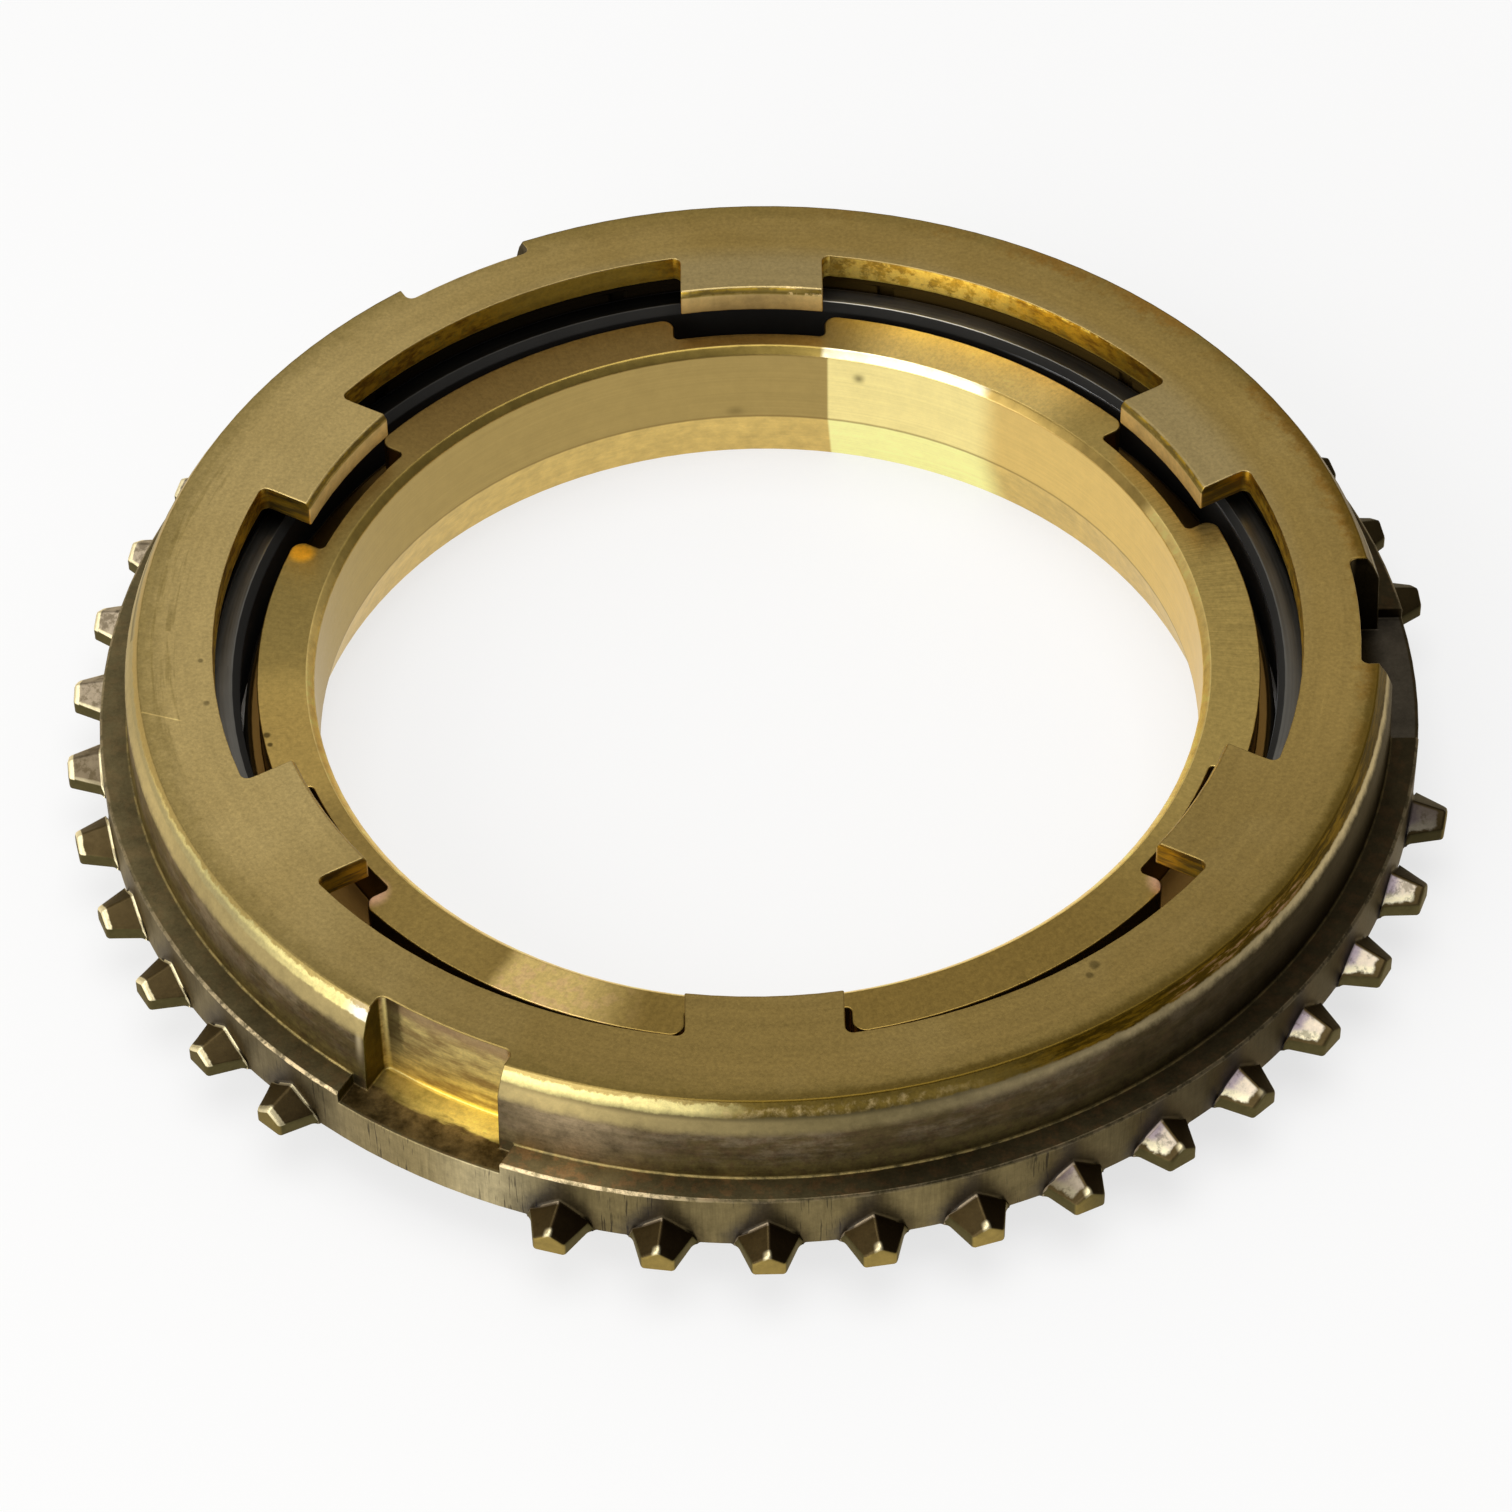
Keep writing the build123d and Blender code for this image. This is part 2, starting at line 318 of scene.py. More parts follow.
blockerLook = {
    # top face
    "pale": (0.62, 0.465, 0.185),
    "deep": (0.42, 0.29, 0.088),
    "olive": (0.25, 0.18, 0.045),
    "amber": (0.36, 0.185, 0.032),
    "tabTop": (0.50, 0.40, 0.20),
    "brim": (0.13, 0.080, 0.010),
    # spots by x, y and size and a scratch from end to end, in mm
    "marks": [(24.1, -35.5, 0.55), (23.7, -36.5, 0.4), (-42.1, -7.7, 0.35), (-42.8, -3.2, 0.3)],
    "scratch": ((-47.35, -8.4), (-44.2, -9.4)),
    # broken edge of the rim
    "rimNear": (0.98, 0.84, 0.35),
    "rimFar": (0.47, 0.335, 0.095),
    "rimWhite": (1.0, 0.97, 0.85),
    "rimOlive": (0.24, 0.165, 0.035),
    "rimRustShaded": (0.17, 0.095, 0.006),
    "rimStainShaded": (0.060, 0.034, 0.002),
    "rimBeige": (0.40, 0.33, 0.16),
    "nick": (0.76, 0.57, 0.26),
    "rose": (0.34, 0.20, 0.12),
    # outer wall
    "shoulder": (0.44, 0.345, 0.15),
    "shoulderGrey": (0.90, 0.72, 0.38),
    "paleLine": (0.45, 0.37, 0.22),
    "wallNear": (0.10, 0.072, 0.030),
    "wallGrey": (0.165, 0.125, 0.072),
    "wallOlive": (0.19, 0.145, 0.050),
    "wallRust": (0.11, 0.066, 0.034),
    "wallDark": (0.012, 0.008, 0.004),
    "footLine": (0.42, 0.32, 0.12),
    # flange and its broached wall
    "flangeTop": (0.10, 0.080, 0.038),
    "flangeRust": (0.15, 0.095, 0.042),
    "flangeEdge": (0.80, 0.64, 0.38),
    "broachLeft": (0.18, 0.148, 0.088),
    "broachNear": (0.225, 0.175, 0.078),
    "broachPale": (0.40, 0.34, 0.20),
    "broachDark": (0.035, 0.028, 0.020),
    "broachBrown": (0.030, 0.022, 0.011),
    "rootBlue": (0.040, 0.037, 0.044),
    "rootBrown": (0.050, 0.034, 0.016),
    # teeth
    "toothDark": (0.022, 0.014, 0.006),
    "toothBrown": (0.095, 0.066, 0.027),
    "toothGrey": (0.46, 0.38, 0.27),
    "toothPale": (0.74, 0.64, 0.50),
    "toothLilac": (0.46, 0.38, 0.42),
    "toothCream": (0.90, 0.82, 0.58),
    "toothTip": (0.34, 0.245, 0.070),
    "toothTipDark": (0.095, 0.078, 0.030),
    "toothEdge": (1.0, 0.88, 0.55),
    "rootLine": (0.36, 0.29, 0.20),
    # slots
    "slotDark": (0.075, 0.048, 0.014),
    "slotBrown": (0.38, 0.26, 0.10),
    "slotOlive": (0.80, 0.65, 0.25),
    "slotRose": (0.40, 0.26, 0.14),
    "slotGold": (1.0, 0.82, 0.24),
    "slotEnd": (0.15, 0.115, 0.020),
    "slotSlate": (0.060, 0.050, 0.036),
    # windows, tabs and the inside
    "window": (0.66, 0.42, 0.045),
    "windowDark": (0.28, 0.150, 0.020),
    "windowGreen": (0.26, 0.22, 0.045),
    "windowPale": (0.62, 0.46, 0.09),
    "tabFront": (0.74, 0.53, 0.21),
    "tabSide": (0.27, 0.18, 0.045),
    "shadowBlack": (0.018, 0.012, 0.005),
    "shadowBrown": (0.090, 0.055, 0.012),
    # sides of the ring, in degrees: the middle, how far off it a mark is gone and full
    "topPaleSide": (172, 80, 5), "topStreakSide": (176, 28, 8), "topStainSide": (30, 60, 30),
    "topBrimSide": (-30, 80, 40), "tabTopsSide": (62, 75, 40), "topNearSide": (-82, 75, 35),
    "rimFarSide": (178, 36, 8), "rimBeigeSide": (180, 52, 34), "facetShadeSide": (0, 24, 14),
    "wallOliveSide": (-120, 95, 50), "wallDarkSide": (-12, 70, 12), "wallLeftSide": (-165, 40, 20),
    "flangeDarkSide": (-10, 82, 30), "flangeCleanSide": (180, 70, 40), "flangeLeftSide": (-172, 34, 12),
    "broachNearSide": (-90, 50, 15), "broachBrownSide": (-10, 68, 32), "rubHighlightWeakSide": (176, 52, 28),
    "teethFarSide": (145, 50, 12), "teethLeftSide": (178, 62, 38), "teethNearSide": (-95, 55, 25),
    "nearSlotSide": (-120, 24, 14), "windowGoldSide": (75, 20, 6), "windowPaleSide": (110, 12, 4),
    "windowShadeSide": (36, 16, 8), "insideBrownSide": (62, 30, 12),
    # marks at one place round the ring, in degrees: the place and the reach to each side
    "facetBrightAt": (-161, 9.0), "facetDimAt": (-146, 10.0), "rimWhiteAt": (-127.6, 2.0),
    "shoulderNearAt": (-108, 8.0), "shoulderLeftAt": (-161, 12.0), "shoulderRightAt": (-24, 26.0),
    "wallGreyAt": (-107, 12.0), "wallBrightAt": (-107, 10.0), "wallDimAt": (-76, 12.0),
    "slotEdgeAt": (-127.2, 0.6), "flangeBrightAt": (-107, 9.0), "flangeDimAt": (-76, 16.0),
    "broachPaleAt": (-113, 8.0), "farTabAt": (90, 14.0),
    # spans round the ring, in degrees: from, to and, with two ends, how soft they are
    "rimOliveFrom": (-97, -90), "rimRustShadeFrom": (-74, -62), "strokesTo": (-82, -68),
    "roseSpan": (-50, -36, 3.0), "shoulderFade": (-112, -72), "shoulderGreyFrom": (-86, -58),
    "edgeShadeFrom": (-128, -100), "rubHighlightFade": (-104, -92), "teethRightSpan": (-62, -18, 6.0),
    "lastRightSpan": (-17, -6, 2.0), "unseenSpan": (0, 60, 8.0), "windowChipSpan": (48, 76, 3.0),
    "tabChipSpan": (81.5, 86, 1.0), "backFade": (120, 160), "brinkFrom": (-104, -90),
    # bands by radius, height or distance, in mm: from, to and, with two ends, how soft they are,
    # or in names that end in At, Y or Z a place and its reach
    "topOuter": (45.2, 48.0), "topStreakBand": (44.8, 46.6, 0.4), "topStainBand": (45.8, 47.6),
    "topBrimBand": (46.7, 47.5), "tabTopsTo": (40.5, 43.5), "facetLowTo": (16.0, 16.3),
    "facetHighFrom": (16.4, 16.6), "strokeBand": (15.8, 16.2, 0.25), "roseBand": (15.9, 16.4, 0.15),
    "wallLowTo": (10.6, 12.2), "slotEdgeFrom": (10.5, 14.0), "wallTopSoft": (-0.45, 0.35),
    "rootShadeRise": (5.5, 9.4), "rootShadeTo": (2.0, 4.2), "rootBrownFrom": (-1.5, 1.0),
    "rubHighlightFrom": (51.0, 51.1), "rubHighlightTo": (51.4, 51.45), "rubHighlightAbove": (9.4, 9.45), "ridgeSoft": (-0.08, 0.08),
    "toothPaleFrom": (51.7, 52.4), "toothCreamTo": (0.5, 1.0), "sheenFromEaves": (0.15, 0.35),
    "sheenToTip": (53.3, 53.6), "sheenOffRidge": (0.1, 0.25), "outerBandFrom": (53.62, 53.74),
    "rootBandTo": (51.58, 51.68), "ridgeEndY": (-0.12, 0.4), "ridgeEndAt": (53.85, 0.45),
    "eavesBandTo": (0.15, 0.3), "slotTo": (51.0, 51.15), "recessTop": (9.6, 9.7),
    "slotRoseFrom": (14.6, 16.4), "smudgeSpan": (-5.2, -4.2, 0.5), "smudgeFrom": (10.5, 13.5),
    "slotCornerAt": (-5.3, 0.25), "slotFootFrom": (-5.4, 0.0), "slotFloorFrom": (46.6, 46.75),
    "slotGoldBand": (46.4, 48.1, 0.8), "slotGoldFrom": (-4.5, 3.0), "slotFloorFade": (47.5, 50.5),
    "slotSlateFrom": (47.5, 49.5), "slotChipsFrom": (16.3, 16.5), "windowWallFrom": (41.0, 41.4),
    "tabSidesTo": (41.4, 41.8), "tabEdgeFrom": (16.15, 16.3), "tabTipTo": (38.1, 38.3),
    "tabChipsFrom": (16.0, 16.2), "insideTo": (44.6, 45.2), "brinkAbove": (16.6, 16.7),
    # how far a face looks up, from 0 to 1
    "roofUp": (0.35, 0.65), "outerBandUp": (0.22, 0.4), "rootBandUp": (0.2, 0.4), "ridgeEndUp": (0.3, 0.5),
    # the ring's own places, in mm
    "topZ": 16.8, "rimRadius": 47.8, "breakZ": 15.7, "shoulderZ": 14.4, "footRadius": 49.15,
    "flangeZ": 9.75, "flangeRadius": 51.35, "flangeChamfer": 0.2, "windowRadius": 42.0,
    "plateZ": 14.5, "tipRadius": 37.65, "slotHalf": 5.65, "recessHalf": 6.9, "slotBack": 46.4,
    "slotFloorZ": 8.7, "toothRootHalf": 2.35,
    "toothTaper": 0.41,      # loss of half width per mm outwards
    "toothTipRadius": 54.15,
    # how many stand round the ring, and the bare degrees beside a slot
    "teeth": 42, "slots": 3,
    "besideSlot": (7.2, 9.0),
    # patterns: scale to the mm, detail and roughness
    "grain": (3.5, 3.0, 0.7),
    "mottle": (1.0, 4.0, 0.7),
    "grime": (0.55, 5.0, 0.7),
    "patches": (0.13, 3.0, 0.55),
    # the metal itself
    "edgeTint": (1.0, 0.88, 0.68),
    "roughness": 0.34, "scratchHalf": 0.12,
    "bumpDepth": 0.012 * mm,
}


def blockerTop(at, look, grain, mottle, patches):
    angle, radius = at["angle"], at["radius"]
    # painted sheen: the top face turns paler towards the left side
    left = sideOf(angle, *look["topPaleSide"])
    colour = mixed(uneven(left, patches, 0.8), look["deep"], look["pale"])
    outer = rise(uneven(radius, mottle, 3.0), *look["topOuter"])
    colour = mixed(outer * 0.55, colour, look["olive"])
    streaks = noise(vector(radius * 1.6, angle * 5.0, 7.0))
    streaks = rise(streaks, 0.48, 0.62) * between(radius, *look["topStreakBand"])
    streaks = streaks * sideOf(angle, *look["topStreakSide"])
    colour = mixed(streaks * 0.4, colour, look["olive"])
    stain = rise(uneven(radius, mottle, 4.0), *look["topStainBand"]) * sideOf(angle, *look["topStainSide"])
    colour = mixed(stain * rise(patches, 0.36, 0.55) * 0.8, colour, look["amber"])
    brim = rise(uneven(radius, mottle, 0.8), *look["topBrimBand"]) * sideOf(angle, *look["topBrimSide"])
    colour = mixed(brim * 0.75, colour, look["brim"])
    tabs = fall(radius, *look["tabTopsTo"]) * sideOf(angle, *look["tabTopsSide"])
    colour = mixed(tabs * 0.6, colour, look["tabTop"])
    bands = noise(vector(radius * 1.2, angle * 3.0, 0.0))
    # painted shade: the near side of the top face darker
    near = 1 - 0.24 * sideOf(angle, *look["topNearSide"])
    colour = shaded(colour, (0.5 + 0.35 * bands + 0.65 * grain) * near)
    for x, y, size in look["marks"]:
        colour = shaded(colour, 1 - 0.5 * dot(at, x, y, size))
    return shaded(colour, 1 + 0.7 * scratch(at, *look["scratch"], look["scratchHalf"]))


def blockerRim(at, look, grain, mottle, grime, back):
    degrees, z, angle = at["degrees"], at["z"], at["angle"]
    # the facet turns olive from -97 degrees and dark rust-brown further right: rust streaks and painted
    # shade on the shaded side
    olive = rise(uneven(degrees, mottle, 6.0), *look["rimOliveFrom"]) * back
    rustShade = rise(uneven(degrees, mottle, 12.0), *look["rimRustShadeFrom"]) * back
    # painted shade and light: the facet darker on the far left, lighter near -161 and dimmer near -146
    # degrees
    farLeft = sideOf(angle, *look["rimFarSide"])
    facet = mixed(farLeft, look["rimNear"], look["rimFar"])
    facetLight = 1 + 0.25 * line(degrees, *look["facetBrightAt"])
    facet = shaded(facet, facetLight - 0.38 * line(degrees, *look["facetDimAt"]))
    facet = shaded(facet, 0.72 + 0.5 * mottle)
    lowLeft = fall(uneven(z, mottle, 0.5), *look["facetLowTo"])
    facet = mixed(lowLeft * sideOf(angle, *look["rimBeigeSide"]) * 0.8, facet, look["rimBeige"])
    # painted highlight: a white glint on the facet beside the near slot
    facet = mixed(line(degrees, *look["rimWhiteAt"]), facet, look["rimWhite"])
    upper = rise(uneven(z, mottle, 1.1) + farLeft * 0.3, *look["facetHighFrom"])
    facet = mixed(upper * 0.85, facet, look["deep"])
    facet = mixed(olive, facet, shaded(look["rimOlive"], 0.45 + 1.1 * mottle))
    along = noise(vector(angle * 18.0, z * 3.0, 5.0), detail=4.0, roughness=0.65)
    facet = mixed(rustShade, facet, mixed(rise(along, 0.42, 0.62), look["rimStainShaded"], look["rimRustShaded"]))
    strokes = noise(vector(angle * 64.0, z * 1.1, 11.0), detail=4.0, roughness=0.7)
    strokes = rise(strokes, 0.42, 0.70) * between(uneven(z, mottle, 1.2), *look["strokeBand"]) * 0.8
    facet = mixed(strokes * olive * fall(degrees, *look["strokesTo"]), facet, look["nick"])
    roseShare = between(degrees, *look["roseSpan"]) * rise(along, 0.50, 0.62)
    facet = mixed(roseShare * between(z, *look["roseBand"]) * 0.8, facet, look["rose"])
    facet = shaded(facet, 1 - 0.5 * sideOf(angle, *look["facetShadeSide"]))

    # painted shade and light: the shoulder darker towards the right, lighter near -108, -161 and -24
    # degrees
    fade = 1 - 0.64 * rise(degrees, *look["shoulderFade"]) * back
    right = rise(uneven(degrees, mottle, 8.0), *look["shoulderGreyFrom"]) * back
    lighter = 1 + 0.35 * line(degrees, *look["shoulderNearAt"])
    lighter = lighter + 0.3 * line(degrees, *look["shoulderLeftAt"])
    lighter = lighter + 0.9 * line(degrees, *look["shoulderRightAt"])
    shoulder = shaded(mixed(right, look["shoulder"], look["shoulderGrey"]), fade * lighter)
    edgeShade = line(uneven(z, mottle, 0.3), look["breakZ"], 0.45) * rise(degrees, *look["edgeShadeFrom"])
    shoulder = shaded(shoulder, 0.55 + 0.6 * mottle + 0.3 * grain)
    facet = mixed(fall(uneven(z, mottle, 0.4), look["breakZ"] - 0.1, look["breakZ"] + 0.1),
                  shaded(facet, 0.7 + 0.6 * grain), shoulder)
    facet = shaded(facet, 1 - 0.5 * edgeShade * (1 - 0.8 * right))

    turned = noise(vector(angle * 2.0, z * 2.2, 0.0), detail=4.0, roughness=0.7)
    stains = noise(vector(angle * 9.0, z * 0.5, at["radius"] * 0.5), detail=4.0, roughness=0.65)
    lower = fall(uneven(z, stains, 2.0), *look["wallLowTo"])
    wall = mixed(rise(stains, 0.42, 0.60), look["wallNear"], look["wallGrey"])
    wall = mixed(lower * sideOf(angle, *look["wallOliveSide"]), wall, look["wallOlive"])
    wall = mixed(rise(mottle, 0.46, 0.64) * 0.5, wall, look["wallRust"])
    # painted light and shade: the wall greyer and lighter near -107 degrees, a little lighter on the left,
    # dimmer near -76 and almost black on the right
    wall = mixed(line(degrees, *look["wallGreyAt"]), wall, look["wallGrey"])
    wall = mixed(sideOf(angle, *look["wallDarkSide"]) * 0.95, wall, look["wallDark"])
    lighter = 1 + 0.9 * line(degrees, *look["wallBrightAt"]) + 0.2 * sideOf(angle, *look["wallLeftSide"])
    lighter = lighter - 0.2 * line(degrees, *look["wallDimAt"])
    patina = larger(0.8 * turned + 1.7 * grime + 0.8 * grain - 0.65, 0.1)
    wall = shaded(wall, patina * lighter)
    slotEdge = line(degrees, *look["slotEdgeAt"]) * rise(z, *look["slotEdgeFrom"])
    wall = mixed(slotEdge, wall, look["paleLine"])
    wallTop = look["shoulderZ"] + right * 0.75
    below = fall(uneven(z, mottle, 0.6) - wallTop, *look["wallTopSoft"])
    return mixed(below, facet, wall)


def blockerFlange(at, look, grain, mottle, grime, back, colour):
    degrees, z, radius, angle = at["degrees"], at["z"], at["radius"], at["angle"]
    right = sideOf(angle, *look["flangeDarkSide"])
    top = fall(z, look["flangeZ"] + 0.05, look["flangeZ"] + 0.15)
    rusty = rise(mottle, 0.45, 0.62) * (1 - 0.75 * sideOf(angle, *look["flangeCleanSide"]))
    face = mixed(rusty, look["flangeTop"], look["flangeRust"])
    # painted light and shade: the flange top lighter near -107 degrees and on the far left, dimmer near
    # -76 and dark on the right
    lighter = 1 + 1.4 * line(degrees, *look["flangeBrightAt"])
    lighter = lighter + 0.6 * sideOf(angle, *look["flangeLeftSide"])
    face = shaded(face, lighter * (1 - 0.6 * line(degrees, *look["flangeDimAt"])))
    face = mixed(right * 0.8, face, look["wallDark"])
    colour = mixed(top, colour, shaded(face, 0.1 + 0.6 * grain + 1.2 * grime))
    # painted highlight: a bright line along the wall's foot, faint on the shaded right
    foot = line(z, look["flangeZ"] + 0.08, 0.2)
    foot = foot * line(radius, look["footRadius"] + 0.06, 0.22) * at["edge"]
    colour = mixed(foot * (1 - 0.9 * right) * rise(mottle, 0.3, 0.6), colour, look["footLine"])

    # Flange wall: upright streaks left by the broach, and shade round the tooth roots
    wall = rise(radius, look["flangeRadius"] - 0.13, look["flangeRadius"] - 0.05)
    along = angle * look["flangeRadius"]
    streaks = noise(vector(along * 2.6, z * 0.14, 0.0), roughness=0.75)
    clusters = noise(vector(along * 0.16, z * 0.1, 3.0), detail=2.0, roughness=0.5)
    # painted light and shade: the broached wall lighter at the front and near -113 degrees, dark brown on
    # the right
    broach = mixed(sideOf(angle, *look["broachNearSide"]), look["broachLeft"], look["broachNear"])
    broach = mixed(line(degrees, *look["broachPaleAt"]) * 0.8, broach, look["broachPale"])
    broach = mixed(sideOf(angle, *look["broachBrownSide"]) * 0.92, broach, look["broachBrown"])
    broach = shaded(broach, 0.5 + streaks)
    deep = rise(streaks, 0.54, 0.64) * rise(clusters, 0.46, 0.60)
    broach = mixed(deep * 0.85, broach, look["broachDark"])
    toothY = radius * angle.maths("SINE", folded(angle, look["teeth"], math.pi / look["teeth"]))
    away = uneven(abs(toothY) + rise(z, *look["rootShadeRise"]) * 2.2, mottle, 1.6)
    besideSlot = [math.radians(edge) for edge in look["besideSlot"]]
    bare = fall(abs(folded(angle, look["slots"])), *besideSlot)
    root = fall(away, *look["rootShadeTo"]) * (1 - bare)
    broach = shaded(broach, 1 + 0.45 * bare)
    rootColour = mixed(rise(toothY, *look["rootBrownFrom"]), look["rootBlue"], look["rootBrown"])
    broach = mixed(root * 0.75, broach, rootColour)
    colour = mixed(wall, colour, shaded(broach, 0.3 + 0.4 * grain + 0.9 * grime))
    # the flange's outer edge rubbed bright, partly a painted highlight that fades on the shaded right and
    # is weaker on the far left
    corner = look["flangeRadius"] + look["flangeZ"] - look["flangeChamfer"]
    rubAndHighlight = rise(radius + z, corner - 0.07, corner - 0.02) * rise(radius, *look["rubHighlightFrom"])
    rubAndHighlight = rubAndHighlight * fall(radius, *look["rubHighlightTo"]) * (1 - 0.88 * rise(degrees, *look["rubHighlightFade"]) * back)
    rubAndHighlight = rubAndHighlight * (1 - 0.75 * sideOf(angle, *look["rubHighlightWeakSide"]))
    rubAndHighlight = rubAndHighlight * rise(z, *look["rubHighlightAbove"]) * (0.15 + 0.9 * rise(mottle, 0.38, 0.58))
    return mixed(rubAndHighlight, colour, look["flangeEdge"]), toothY


def blockerTeeth(at, look, grain, mottle, toothY, colour):
    radius, angle, degrees = at["radius"], at["angle"], at["degrees"]
    tooth = rise(radius, look["flangeRadius"] + 0.07, look["flangeRadius"] + 0.13)
    roof = rise(at["up"], *look["roofUp"])
    firstSide = fall(toothY, *look["ridgeSoft"])    # the clockwise side of each roof
    fromEaves = look["toothRootHalf"] - (radius - look["flangeRadius"]) * look["toothTaper"] - abs(toothY)
    farLeft = sideOf(angle, *look["teethFarSide"])
    left = sideOf(angle, *look["teethLeftSide"])
    right = between(degrees, *look["teethRightSpan"])
    lastRight = between(degrees, *look["lastRightSpan"])
    near = sideOf(angle, *look["teethNearSide"])
    unseen = between(degrees, *look["unseenSpan"])

    # painted light and shade: the clockwise roof face darker than the other, the left-hand roofs brown and
    # the far-left ones grey
    roofColour = mixed(firstSide, look["toothDark"], look["toothBrown"])
    greyShare = farLeft * (0.45 + 0.55 * rise(mottle, 0.40, 0.56))
    roofColour = mixed(left, roofColour, mixed(greyShare, look["toothBrown"], look["toothGrey"]))
    outward = rise(uneven(radius, mottle, 1.2), *look["toothPaleFrom"])
    pale = mixed(outward, look["toothLilac"], look["toothPale"])
    pale = mixed(fall(uneven(fromEaves, mottle, 0.8), *look["toothCreamTo"]), pale, look["toothCream"])
    # painted sheen: the pale middles of the roof faces on the right-hand teeth
    roofSheen = rise(uneven(fromEaves, mottle, 0.7), *look["sheenFromEaves"])
    roofSheen = roofSheen * fall(radius + (mottle - 0.5), *look["sheenToTip"])
    roofSheen = roofSheen * rise(abs(toothY), *look["sheenOffRidge"])
    roofSheen = roofSheen * (0.6 + 0.4 * rise(mottle, 0.36, 0.46)) * firstSide
    roofColour = mixed(right * roofSheen, roofColour, pale)
    roofColour = mixed(lastRight * roofSheen * 0.15, roofColour, look["toothLilac"])
    # painted shade: tips darker on the left and right, the flanks dark, the back teeth and the last ones
    # on the right darker still
    sides = mixed(larger(right, left), look["toothTip"], look["toothTipDark"])
    tip = rise(radius, look["toothTipRadius"] - 0.25, look["toothTipRadius"] - 0.05)
    sides = mixed(tip, look["toothTipDark"], sides)
    body = shaded(mixed(roof, sides, roofColour), 0.45 + 0.7 * mottle + 0.4 * grain)
    body = shaded(body, 1 - 0.7 * larger(unseen, lastRight * 0.8))

    # Bright edges, partly wear and partly painted highlight: the outer end of the roof and its root on the
    # left, the ridge's end and the root line on the near teeth
    outerBand = rise(uneven(radius, mottle, 0.3), *look["outerBandFrom"])
    outerBand = outerBand * rise(at["up"], *look["outerBandUp"]) * left
    rootBand = fall(radius, *look["rootBandTo"]) * rise(at["up"], *look["rootBandUp"])
    ridgeEnd = line(toothY, *look["ridgeEndY"]) * line(radius, *look["ridgeEndAt"])
    ridgeEnd = ridgeEnd * rise(at["up"], *look["ridgeEndUp"]) * near
    eavesBand = fall(fromEaves, *look["eavesBandTo"]) * roof * farLeft * left
    body = mixed(larger(outerBand, eavesBand) * (0.5 + mottle), body, look["toothEdge"])
    body = mixed(ridgeEnd * 1.3, body, look["toothEdge"])
    body = mixed(rootBand * left * (0.5 + 0.8 * mottle), body, look["toothEdge"])
    body = mixed(rootBand * near * firstSide * 0.7, body, look["rootLine"])
    return mixed(tooth, colour, body)


def blockerSlots(at, look, grain, mottle, grime, colour):
    radius, z = at["radius"], at["z"]
    slotAngle = folded(at["angle"], look["slots"])
    slotY = radius * slotAngle.maths("SINE", slotAngle)
    side = abs(slotY)
    recess = rise(radius, look["footRadius"] + 0.02, look["footRadius"] + 0.1)
    narrow = fall(side, look["slotHalf"] + 0.03, look["slotHalf"] + 0.1)
    within = larger(narrow, recess * fall(side, look["recessHalf"] + 0.08, look["recessHalf"] + 0.15))
    within = within * rise(radius, look["slotBack"] - 0.12, look["slotBack"] - 0.05)
    within = within * fall(z, look["topZ"] - 0.18, look["topZ"] - 0.1)
    within = within * fall(radius, *look["slotTo"])
    within = within * (1 - recess * rise(z, *look["recessTop"]))
    within = within * rise(z, look["slotFloorZ"] - 0.3, look["slotFloorZ"] - 0.15)
    lit = sideOf(at["angle"], *look["nearSlotSide"])    # painted light: only the near slot is lit, the others get painted shade

    smear = noise(vector(slotY * 0.35, z * 1.3, radius * 1.3), detail=4.0)
    back = mixed(rise(smear, 0.30, 0.70), look["slotBrown"], look["slotOlive"])
    back = mixed(rise(uneven(z, mottle, 1.5), *look["slotRoseFrom"]) * 0.8, back, look["slotRose"])
    smudge = between(uneven(slotY, mottle, 1.2), *look["smudgeSpan"]) * rise(z, *look["smudgeFrom"])
    back = mixed(smudge * 0.75, back, look["slotDark"])
    back = mixed(line(slotY, *look["slotCornerAt"]) * (0.4 + mottle), back, look["slotOlive"])
    # painted highlight: a gold line where the back wall meets the floor
    foot = line(z, look["slotFloorZ"] + 0.1, 0.4) * line(radius, look["slotBack"] + 0.1, 0.45)
    back = mixed(foot * rise(slotY, *look["slotFootFrom"]) * 1.3, back, look["slotGold"])
    onFloor = fall(z, look["slotFloorZ"] + 0.06, look["slotFloorZ"] + 0.14)
    onFloor = onFloor * rise(radius, *look["slotFloorFrom"])
    gold = between(uneven(radius, smear, 2.6), *look["slotGoldBand"])
    gold = gold * (0.25 + 0.75 * rise(slotY, *look["slotGoldFrom"]))
    floorColour = mixed(rise(grime, 0.30, 0.75), look["slotDark"], look["slotBrown"])
    floorColour = shaded(floorColour, 1 - 0.6 * rise(radius, *look["slotFloorFade"]))
    goldShare = gold * (0.6 + 0.25 * rise(smear, 0.30, 0.60) + 0.25 * rise(grime, 0.30, 0.60))
    back = mixed(onFloor, back, mixed(goldShare, floorColour, look["slotGold"]))
    ends = rise(side, look["slotHalf"] - 0.1, look["slotHalf"] - 0.02) * (1 - onFloor)
    back = mixed(ends, back, shaded(look["slotEnd"], 0.3 + smear))
    # painted shade: the slots other than the near one near black, with slate floors
    unlit = mixed(onFloor * rise(radius, *look["slotSlateFrom"]), look["shadowBlack"], look["slotSlate"])
    back = mixed(lit, shaded(unlit, 0.4 + 1.2 * grime), back)
    chips = at["edge"] * rise(z, *look["slotChipsFrom"]) * rise(mottle, 0.44, 0.58) * lit
    back = mixed(chips, shaded(back, 0.7 + 0.6 * grain), look["nick"])
    return mixed(within, colour, back)


